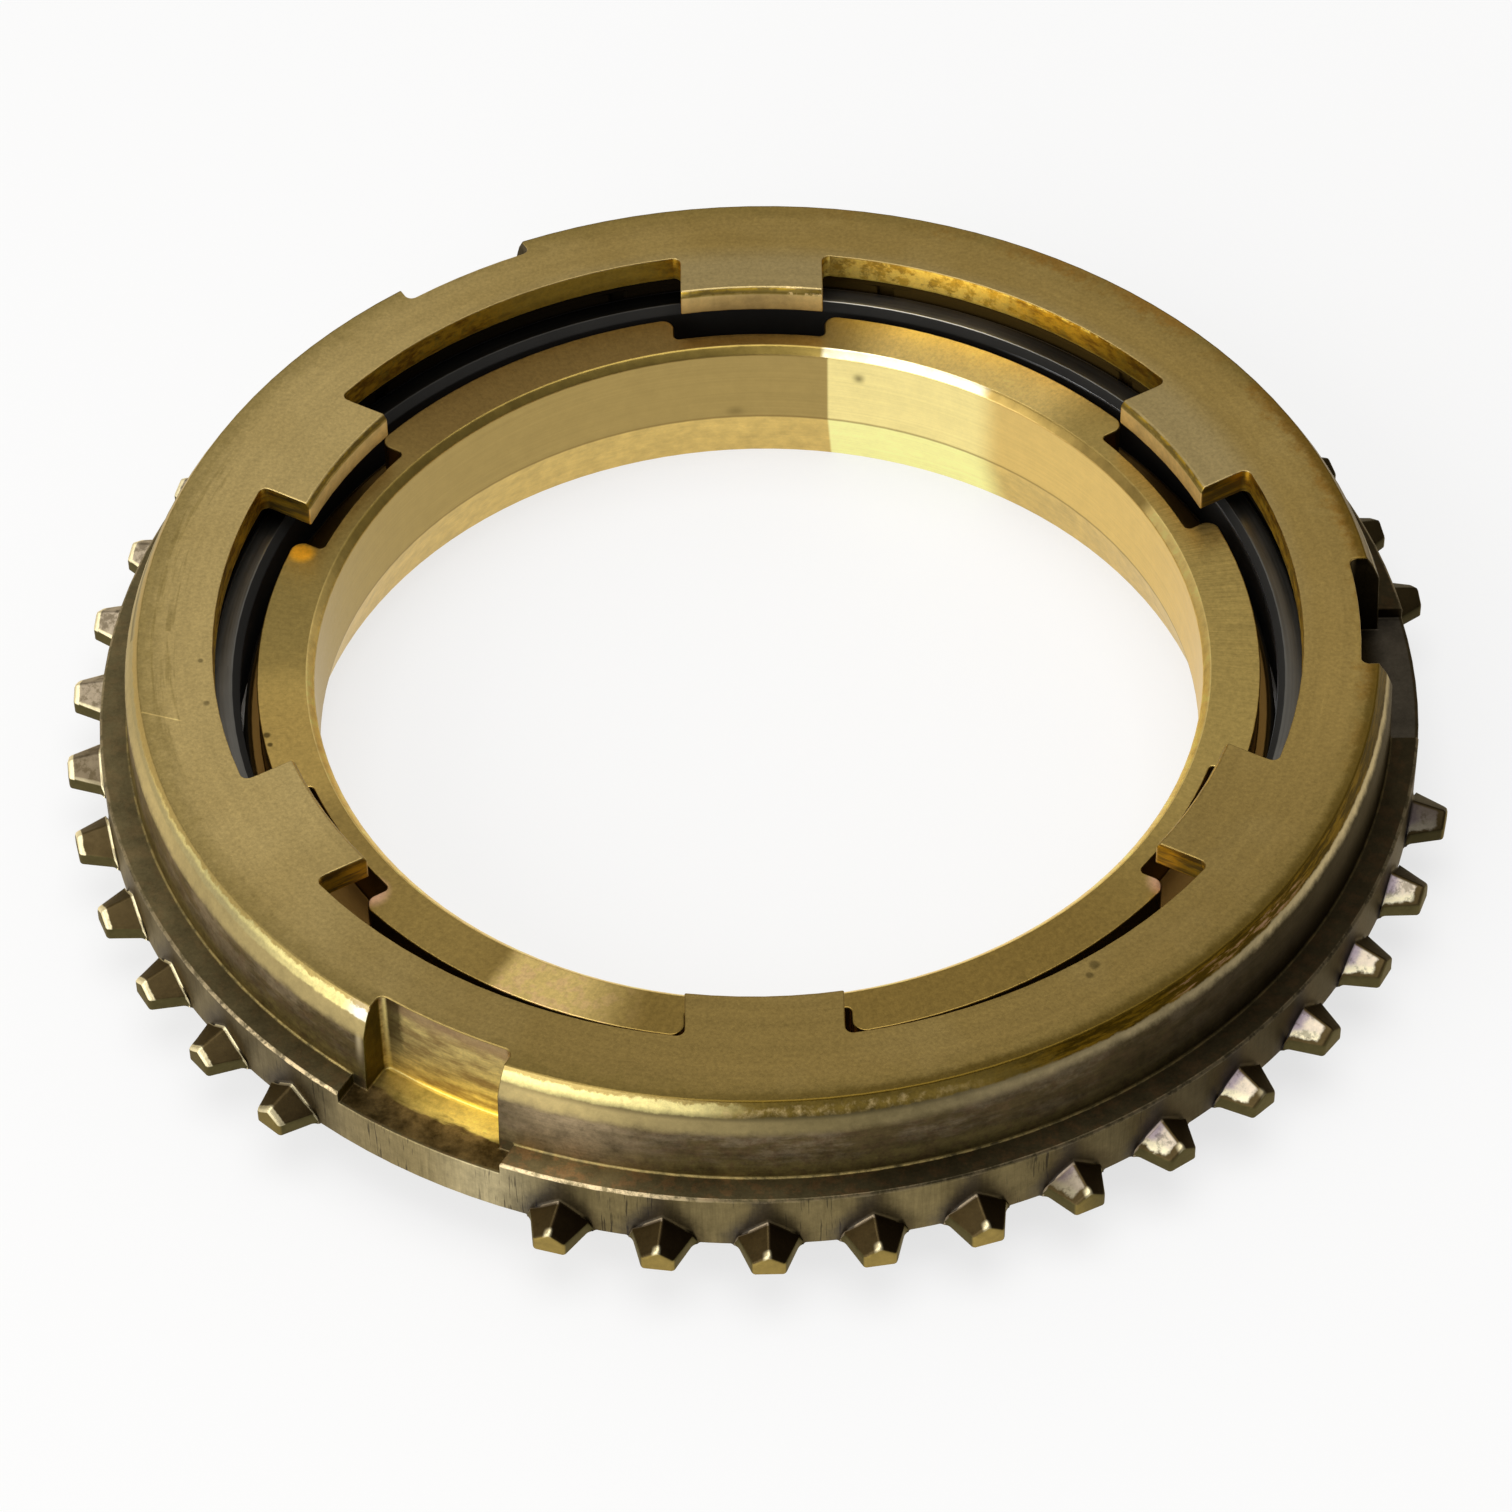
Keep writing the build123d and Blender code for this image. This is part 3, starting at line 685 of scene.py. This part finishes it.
def blockerWindows(at, look, grain, mottle, colour):
    radius, z, angle, degrees = at["radius"], at["z"], at["angle"], at["degrees"]
    underTop = fall(z, look["topZ"] - 0.12, look["topZ"] - 0.05)
    outward = rise(radius, *look["windowWallFrom"])
    inward = fall(radius, *look["tabSidesTo"])
    wall = underTop * outward * fall(radius, look["windowRadius"] + 0.02, look["windowRadius"] + 0.1)
    blotch = noise(vector(angle * 30.0, z * 1.6, radius * 0.2), roughness=0.65)
    gold = mixed(rise(blotch, 0.32, 0.62), look["windowDark"], look["window"])
    gold = mixed(rise(mottle, 0.50, 0.66) * 0.5, gold, look["windowGreen"])
    # painted light and shade: the window walls gold near 75 degrees, paler near 110 and darker near 36
    goldShare = sideOf(angle, *look["windowGoldSide"]) * (0.25 + 0.6 * rise(mottle, 0.40, 0.55))
    gold = mixed(goldShare, gold, look["slotGold"])
    gold = mixed(sideOf(angle, *look["windowPaleSide"]) * 0.8, gold, look["windowPale"])
    gold = shaded(gold, 1 - 0.45 * sideOf(angle, *look["windowShadeSide"]))
    gold = mixed(line(z, look["plateZ"] + 0.1, 0.2) * 0.7, gold, look["windowPale"])
    chips = rise(z, look["topZ"] - 0.4, look["topZ"] - 0.2) * rise(mottle, 0.47, 0.58)
    gold = mixed(chips * between(degrees, *look["windowChipSpan"]), gold, look["slotGold"])
    colour = mixed(wall, colour, shaded(gold, 0.5 + 0.5 * grain + 0.5 * mottle))
    side = mixed(rise(blotch, 0.42, 0.60), look["tabSide"], look["window"])
    front = fall(radius, look["tipRadius"] + 0.05, look["tipRadius"] + 0.25)
    # painted shade: the far tab's front darker
    facing = shaded(look["tabFront"], 1 - 0.35 * line(degrees, *look["farTabAt"]))
    facing = mixed(rise(z, *look["tabEdgeFrom"]), facing, look["olive"])
    side = mixed(front, side, shaded(facing, 0.6 + 0.8 * mottle))
    colour = mixed(underTop * inward, colour, side)
    chips = at["edge"] * fall(radius, *look["tabTipTo"]) * rise(mottle, 0.50, 0.60)
    chips = chips * rise(z, *look["tabChipsFrom"])
    rightEnd = between(degrees, *look["tabChipSpan"])
    colour = mixed(chips * (0.12 + 0.88 * rightEnd), colour, look["nick"])

    # Under the plate: painted shade, near black, browner on the far right
    inside = fall(z, look["plateZ"] - 0.12, look["plateZ"] - 0.02)
    inside = inside * fall(radius, *look["insideTo"])
    brown = sideOf(angle, *look["insideBrownSide"])
    return mixed(inside, colour, mixed(brown, look["shadowBlack"], look["shadowBrown"])), inside


def blockerMaterial(piece):
    look = blockerLook
    material, start = newMaterial("blockerBrass")
    at = places(start)
    grain = noise(at["spot"], *look["grain"])
    patches = noise(at["spot"], *look["patches"])
    mottle = noise(at["spot"], *look["mottle"])
    grime = noise(at["spot"], *look["grime"])
    turned = noise(vector(at["radius"] * 5.0, at["angle"] * 1.6, at["z"] * 5.0))
    back = fall(at["degrees"], *look["backFade"])   # ends on the far side what belongs to the right

    colour = blockerTop(at, look, grain, mottle, patches)
    rim = rise(at["radius"], look["rimRadius"] - 0.06, look["rimRadius"] + 0.06)
    colour = mixed(rim, colour, blockerRim(at, look, grain, mottle, grime, back))
    brink = at["edge"] * line(at["radius"], look["rimRadius"], 0.25) * rise(at["z"], *look["brinkAbove"])
    brink = brink * rise(at["degrees"], *look["brinkFrom"]) * back
    colour = mixed(brink * 0.9, colour, look["brim"])
    colour, toothY = blockerFlange(at, look, grain, mottle, grime, back, colour)
    colour = blockerTeeth(at, look, grain, mottle, toothY, colour)
    colour = blockerSlots(at, look, grain, mottle, grime, colour)
    colour, inside = blockerWindows(at, look, grain, mottle, colour)

    onWalls = fall(at["z"], look["topZ"] - 1.2, look["topZ"] - 0.4)
    roughness = look["roughness"] + 0.12 * grain + 0.12 * onWalls + 0.35 * inside
    height = turned * 0.4 + grain + mottle * rim
    metalSurface(piece, material, start, colour, roughness, 1 - 0.1 * inside, height, look)


steelLook = {
    "dark": (0.018, 0.017, 0.015),
    "slate": (0.17, 0.165, 0.15),
    "bright": (0.44, 0.43, 0.40),
    "edge": (0.62, 0.64, 0.66),
    # sides of the ring, in degrees
    "shadowSide": (120, 44, 28), "brightSide": (74, 20, 4), "rimBrightSide": (74, 30, 14),
    "lipSide": (22, 40, 20),
    # bands and places by radius, height or distance, in mm
    "rimFrom": (42.0, 42.2),
    # how far a face looks up, from 0 to 1
    "levelUp": (0.80, 0.95),
    # the ring's own places, in mm
    "topZ": 12.8, "innerRadius": 40.3,
    # patterns: scale to the mm, detail and roughness
    "clouds": (0.3, 3.0, 0.5),
    # the metal itself
    "edgeTint": (0.8, 0.8, 0.8),
    "roughness": 0.25,
    "bumpDepth": 0.005 * mm,
}


def steelMaterial(piece):
    look = steelLook
    material, start = newMaterial("coneSteel")
    at = places(start)
    ground = noise(vector(at["radius"] * 6.0, at["angle"] * 4.0, at["z"] * 6.0))
    clouds = noise(at["spot"], *look["clouds"])
    top = rise(at["up"], *look["levelUp"]) * rise(at["z"], look["topZ"] - 0.3, look["topZ"] - 0.1)
    shadow = sideOf(at["angle"], *look["shadowSide"])
    # painted sheen: the top face bright near 74 degrees
    colour = mixed(sideOf(at["angle"], *look["brightSide"]), look["slate"], look["bright"])
    colour = mixed(top * (1 - 0.93 * shadow), look["dark"], colour)
    colour = shaded(colour, 0.5 + 0.6 * ground + 0.5 * clouds)
    # painted highlights: a pale outer edge line, strongest near 74 degrees, and a pale inner edge line
    # near 22 degrees
    rim = at["edge"] * rise(at["radius"], *look["rimFrom"])
    rim = rim * rise(at["z"], look["topZ"] - 0.8, look["topZ"] - 0.5)
    colour = mixed(rim * (0.25 + 0.6 * sideOf(at["angle"], *look["rimBrightSide"])), colour, look["edge"])
    lip = at["edge"] * fall(at["radius"], look["innerRadius"], look["innerRadius"] + 0.3)
    lip = lip * rise(at["z"], look["topZ"] - 0.9, look["topZ"] - 0.6)
    lip = lip * sideOf(at["angle"], *look["lipSide"])
    colour = mixed(lip * 0.6, colour, look["edge"])
    inner = (1 - top) * (1 - larger(rim, lip))
    roughness = look["roughness"] + 0.15 * ground + 0.5 * inner
    metalSurface(piece, material, start, colour, roughness, 1 - 0.7 * inner, ground, look)


innerLook = {
    "top": (0.52, 0.375, 0.115),
    "topDark": (0.29, 0.185, 0.055),
    "topNear": (0.31, 0.205, 0.052),
    "topNearLeft": (0.40, 0.275, 0.08),
    "sheenGold": (1.0, 0.74, 0.26),
    "rose": (0.95, 0.56, 0.34),
    "orange": (0.95, 0.55, 0.06),
    "bore": (0.40, 0.285, 0.095),
    "boreWarm": (0.74, 0.52, 0.17),
    "boreBright": (0.95, 0.80, 0.33),
    "flare": (0.66, 0.47, 0.14),
    "flareBright": (1.0, 0.96, 0.40),
    "flareLine": (0.24, 0.16, 0.05),
    "chamferDark": (0.34, 0.24, 0.06),
    "chamferBright": (0.98, 0.90, 0.60),
    "side": (0.30, 0.17, 0.045),
    "shadowBlack": (0.016, 0.012, 0.006),
    # sides of the ring, in degrees
    "topDarkSide": (112, 48, 15), "topNearSide": (-88, 66, 32), "topNearLeftSide": (-150, 36, 18),
    "topBrightSide": (-167, 14, 5), "topDimSide": (162, 22, 8), "milledSide": (14, 24, 8),
    "chamferDarkSide": (118, 60, 35),
    # marks at one place round the ring, in degrees
    "highStainAt": (75.5, 1.2), "lowStainAt": (92.5, 2.0),
    # spans round the ring, in degrees
    "farPatchSpan": (52, 70, 9), "nearPatchFrom": (-122.5, -120), "nearPatchTo": (-114, -103),
    # bands and places by radius, height or distance, in mm
    "highStainZ": (10.6, 0.8), "lowStainZ": (6.2, 0.8), "flareTo": (36.2, 36.5),
    "lugSidesFrom": (36.3, 36.5), "hiddenFrom": (37.5, 38.5),
    # the ring's own places, in mm
    "topZ": 13.0, "ledgeZ": 9.0, "boreRadius": 34.45, "landFootZ": 5.5,
    # degrees round the bore and its chamfer
    "brightFrom": 57, "brightTo": 80, "plainFrom": 28, "warmFrom": -20,
    # spots on the top face: x, y and size in mm
    "roseCorners": [(30.2, -24.2, 1.8), (-29.3, -23.8, 1.8)],
    "orangeGlint": (-35.9, 12.1, 1.4),
    "marks": [(-37.8, -7.6, 0.4), (-37.5, -8.6, 0.3)],
    # patterns: scale to the mm, detail and roughness
    "grain": (3.2, 3.0, 0.65),
    "mottle": (0.7, 4.0, 0.65),
    # the metal itself
    "edgeTint": (1.0, 0.94, 0.80),
    "roughness": 0.28,
    "bumpDepth": 0.010 * mm,
}


def innerTop(at, look, grain, mottle):
    degrees, angle, radius = at["degrees"], at["angle"], at["radius"]
    milled = noise(vector(angle * 220.0 + radius * 0.6, radius * 0.2, 0.0), detail=2.0)
    # painted light and shade: the top face darker on the far side and the near side, lighter near -167 and
    # dimmer near 162 degrees
    colour = mixed(sideOf(angle, *look["topDarkSide"]), look["top"], look["topDark"])
    colour = mixed(sideOf(angle, *look["topNearSide"]), colour, look["topNear"])
    colour = mixed(sideOf(angle, *look["topNearLeftSide"]), colour, look["topNearLeft"])
    lighter = 1 + 0.5 * sideOf(angle, *look["topBrightSide"])
    colour = shaded(colour, lighter - 0.25 * sideOf(angle, *look["topDimSide"]))
    # painted sheen: bright patches on the top face from 52 to 70 and from -122 to -103 degrees, partly
    # pink on the near one
    farPatch = between(degrees, *look["farPatchSpan"])
    nearPatch = rise(degrees, *look["nearPatchFrom"]) * fall(degrees, *look["nearPatchTo"])
    colour = mixed(larger(farPatch, nearPatch) * (0.75 + 0.3 * mottle), colour, look["sheenGold"])
    colour = mixed(nearPatch * rise(mottle, 0.46, 0.60) * 0.35, colour, look["rose"])
    # painted highlights: pink on the near lugs' rounded corners and an orange glint on the left lug's
    # corner
    for x, y, size in look["roseCorners"]:
        colour = mixed(dot(at, x, y, size) * 0.85, colour, look["rose"])
    colour = mixed(dot(at, *look["orangeGlint"]), colour, look["orange"])
    lines = 0.2 + 0.5 * sideOf(angle, *look["milledSide"])
    colour = shaded(colour, 1 + (milled - 0.5) * lines + (grain - 0.5) * 0.6)
    for x, y, size in look["marks"]:
        colour = shaded(colour, 1 - 0.7 * dot(at, x, y, size))
    return colour


def innerBore(at, look, grain, mottle, turned):
    degrees, z = at["degrees"], at["z"]
    # painted reflection: the bore bright from 57 to 80 degrees and warmer from -20 degrees; the flare
    # paler than the land
    bright = rise(degrees, look["brightFrom"] - 3, look["brightFrom"] + 2)
    bright = bright * fall(degrees, look["brightTo"] - 0.4, look["brightTo"])
    warm = between(degrees, look["warmFrom"], look["brightFrom"], 12)
    flare = fall(z, look["landFootZ"] - 0.1, look["landFootZ"] + 0.1)
    colour = mixed(warm, look["bore"], look["boreWarm"])
    colour = mixed(flare, colour, shaded(look["flare"], 0.7 + 0.6 * mottle))
    colour = mixed(bright, colour, mixed(flare, look["boreBright"], look["flareBright"]))
    colour = mixed(line(z, look["landFootZ"] + 0.05, 0.22) * 0.7, colour, look["flareLine"])
    stain = line(degrees, *look["highStainAt"]) * line(z, *look["highStainZ"])
    stain = stain + 0.5 * line(degrees, *look["lowStainAt"]) * line(z, *look["lowStainZ"])
    colour = shaded(colour, 1 - 0.6 * stain * (0.5 + mottle))
    return shaded(colour, 0.72 + 0.24 * turned + 0.2 * mottle + 0.12 * grain), flare


def innerMaterial(piece):
    look = innerLook
    material, start = newMaterial("innerBrass")
    at = places(start)
    radius, z, degrees = at["radius"], at["z"], at["degrees"]
    grain = noise(at["spot"], *look["grain"])
    mottle = noise(at["spot"], *look["mottle"])
    turned = noise(vector(radius * 5.0, at["angle"] * 1.6, z * 5.0))

    colour = innerTop(at, look, grain, mottle)
    boreColour, flare = innerBore(at, look, grain, mottle, turned)
    bore = fall(radius, look["boreRadius"] + 0.04, look["boreRadius"] + 0.1)
    bore = larger(bore, flare * fall(radius, *look["flareTo"]))
    colour = mixed(bore, colour, boreColour)
    chamfer = between(radius, look["boreRadius"] + 0.08, look["boreRadius"] + 0.62, 0.05)
    chamfer = chamfer * rise(z, look["topZ"] - 0.8, look["topZ"] - 0.7)
    # painted light and shade: the bore chamfer dark on the far left, bright from 57 to 80 degrees and
    # plainer from 28 to 57
    darkSide = sideOf(at["angle"], *look["chamferDarkSide"])
    chamferColour = mixed(darkSide, look["sheenGold"], look["chamferDark"])
    brightPart = between(degrees, look["brightFrom"], look["brightTo"], 1.0)
    chamferColour = mixed(brightPart, chamferColour, look["chamferBright"])
    plainPart = between(degrees, look["plainFrom"], look["brightFrom"] - 1, 3.0)
    chamferColour = mixed(plainPart, chamferColour, look["topNearLeft"])
    colour = mixed(chamfer, colour, shaded(chamferColour, 0.5 + mottle))

    # Lug sides and the cone below them
    below = fall(z, look["topZ"] - 0.2, look["topZ"] - 0.12) * rise(radius, *look["lugSidesFrom"])
    colour = mixed(below, colour, look["side"])
    # painted shade: the cone below the lugs, seen only through gaps, near black
    hidden = fall(z, look["ledgeZ"] - 0.3, look["ledgeZ"]) * rise(radius, *look["hiddenFrom"])
    colour = mixed(hidden, colour, look["shadowBlack"])
    roughness = look["roughness"] + 0.14 * grain + 0.4 * hidden
    height = turned * 0.5 + grain
    metalSurface(piece, material, start, colour, roughness, 1 - 0.6 * hidden, height, look)


blockerMaterial(blockerRing)
steelMaterial(coneRing)
innerMaterial(innerRing)
print("brass and steel finished")


# Floor, light and camera

studio = {
    "floorSize": 6.0,
    "floorColour": (0.92, 0.92, 0.92),
    "floorWhite": 0.72,                # share of plain white in what the camera and the metal see of it
    "underFrom": (39.5, 39.9),         # radii in mm between which the floor keeps its own shade
    "underTo": (43.4, 44.0),
    # world brightness by the height of its direction: 0 level, 1 straight up
    "worldStops": [(0.0, (0.62, 0.61, 0.59)), (0.2, (0.42, 0.41, 0.39)), (0.6, (0.50, 0.48, 0.45)),
                   (0.8, (0.42, 0.41, 0.39)), (1.0, (0.36, 0.36, 0.36))],
    "darkWall": (0.6, -0.8, 0.0),      # the side of the room with no window
    "darkWallShare": 0.4,
    "darkWallEdge": (-0.2, 0.7),       # cosines between which the wall darkens
    "lamps": [
        # azimuth and elevation in degrees, distance, width, height, watts
        ("windowLamp", -134, 27, 1.0, 0.93, 0.86, 6.0),
        ("overheadLamp", -90, 88, 1.5, 1.2, 1.2, 11.0),
    ],
}


def studioFloor():
    half = studio["floorSize"] / 2
    mesh = bpy.data.meshes.new("studioFloor")
    corners = [(-half, -half, 0), (half, -half, 0), (half, half, 0), (-half, half, 0)]
    mesh.from_pydata(corners, [], [(0, 1, 2, 3)])
    floor = bpy.data.objects.new("studioFloor", mesh)
    bpy.context.scene.collection.objects.link(floor)
    material, start = newMaterial("floorPaper")
    paper = start.node("BsdfDiffuse", {}, {"Color": (*studio["floorColour"], 1)})
    white = start.node("Emission", {}, {"Color": (1, 1, 1, 1), "Strength": 1.0})
    seen = start.node("LightPath", {}, {}, out="Is Camera Ray")
    seen = larger(seen, larger(seen.pick("Is Glossy Ray"), seen.pick("Is Transmission Ray")))
    radius = places(start)["radius"]
    clear = 1 - rise(radius, *studio["underFrom"]) * fall(radius, *studio["underTo"])
    surface = start.node("MixShader", {}, {0: seen * clear * studio["floorWhite"], 1: paper, 2: white})
    start.node("OutputMaterial", {}, {"Surface": surface})
    mesh.materials.append(material)


def studioWorld():
    world = bpy.data.worlds.new("studioWorld")
    bpy.context.scene.world = world
    world.use_nodes = True
    world.node_tree.nodes.clear()
    start = Wire(world.node_tree)
    direction = start.node("TexCoord", {}, {}, out="Generated")
    height = start.node("SeparateXYZ", {}, {0: direction}, out="Z")
    sky = start.node("ValToRGB", {"stops": studio["worldStops"]}, {"Fac": height})
    away = start.node("VectorMath", {"operation": "DOT_PRODUCT"},
                      {0: direction, 1: studio["darkWall"]}, out="Value")
    sky = shaded(sky, 1 - rise(away, *studio["darkWallEdge"]) * (1 - studio["darkWallShare"]))
    light = start.node("Background", {}, {"Color": sky})
    start.node("OutputWorld", {}, {"Surface": light})


def studioLamps():
    for name, azimuth, elevation, distance, width, length, watts in studio["lamps"]:
        lamp = bpy.data.lights.new(name, "AREA")
        lamp.shape = "RECTANGLE"
        lamp.size = width
        lamp.size_y = length
        lamp.energy = watts
        holder = bpy.data.objects.new(name, lamp)
        bpy.context.scene.collection.objects.link(holder)
        turn, tall = math.radians(azimuth), math.radians(elevation)
        level = math.cos(tall)
        place = distance * Vector((math.cos(turn) * level, math.sin(turn) * level, math.sin(tall)))
        holder.location = place
        holder.rotation_euler = (-place).to_track_quat("-Z", "Y").to_euler()


cameraPlace = {
    "lens": 136.297,             # mm
    "distance": 441.525 * mm,    # from the middle of the top face
    "elevation": 45.927,         # degrees above the top face
    "yaw": -0.0401,              # degrees off the middle of the top face
    "pitch": 1.3538, "roll": -1.0284,
    "topFace": 16.8 * mm,
    "sensor": 36,                # mm
    "clip": (0.01, 50),          # m
}


def studioCamera():
    look = cameraPlace
    tall = math.radians(look["elevation"])
    out = look["distance"] * Vector((0, -math.cos(tall), math.sin(tall)))
    forward = -out.normalized()
    right = Vector((1, 0, 0))
    down = forward.cross(right)
    aimed = Matrix((right, down, forward))
    turned = (Matrix.Rotation(math.radians(look["roll"]), 3, "Z")
              @ Matrix.Rotation(math.radians(look["pitch"]), 3, "X")
              @ Matrix.Rotation(math.radians(-look["yaw"]), 3, "Y") @ aimed)
    axes = Matrix((turned[0], -turned[1], -turned[2])).transposed()
    camera = bpy.data.objects.new("studioCamera", bpy.data.cameras.new("studioCamera"))
    bpy.context.scene.collection.objects.link(camera)
    camera.data.lens = look["lens"]
    camera.data.sensor_width = look["sensor"]
    camera.data.clip_start, camera.data.clip_end = look["clip"]
    camera.matrix_world = Matrix.Translation(out + Vector((0, 0, look["topFace"]))) @ axes.to_4x4()
    bpy.context.scene.camera = camera


studioFloor()
studioWorld()
studioLamps()
studioCamera()
bpy.context.scene.view_settings.view_transform = "Standard"
print("floor, lamps and camera set")
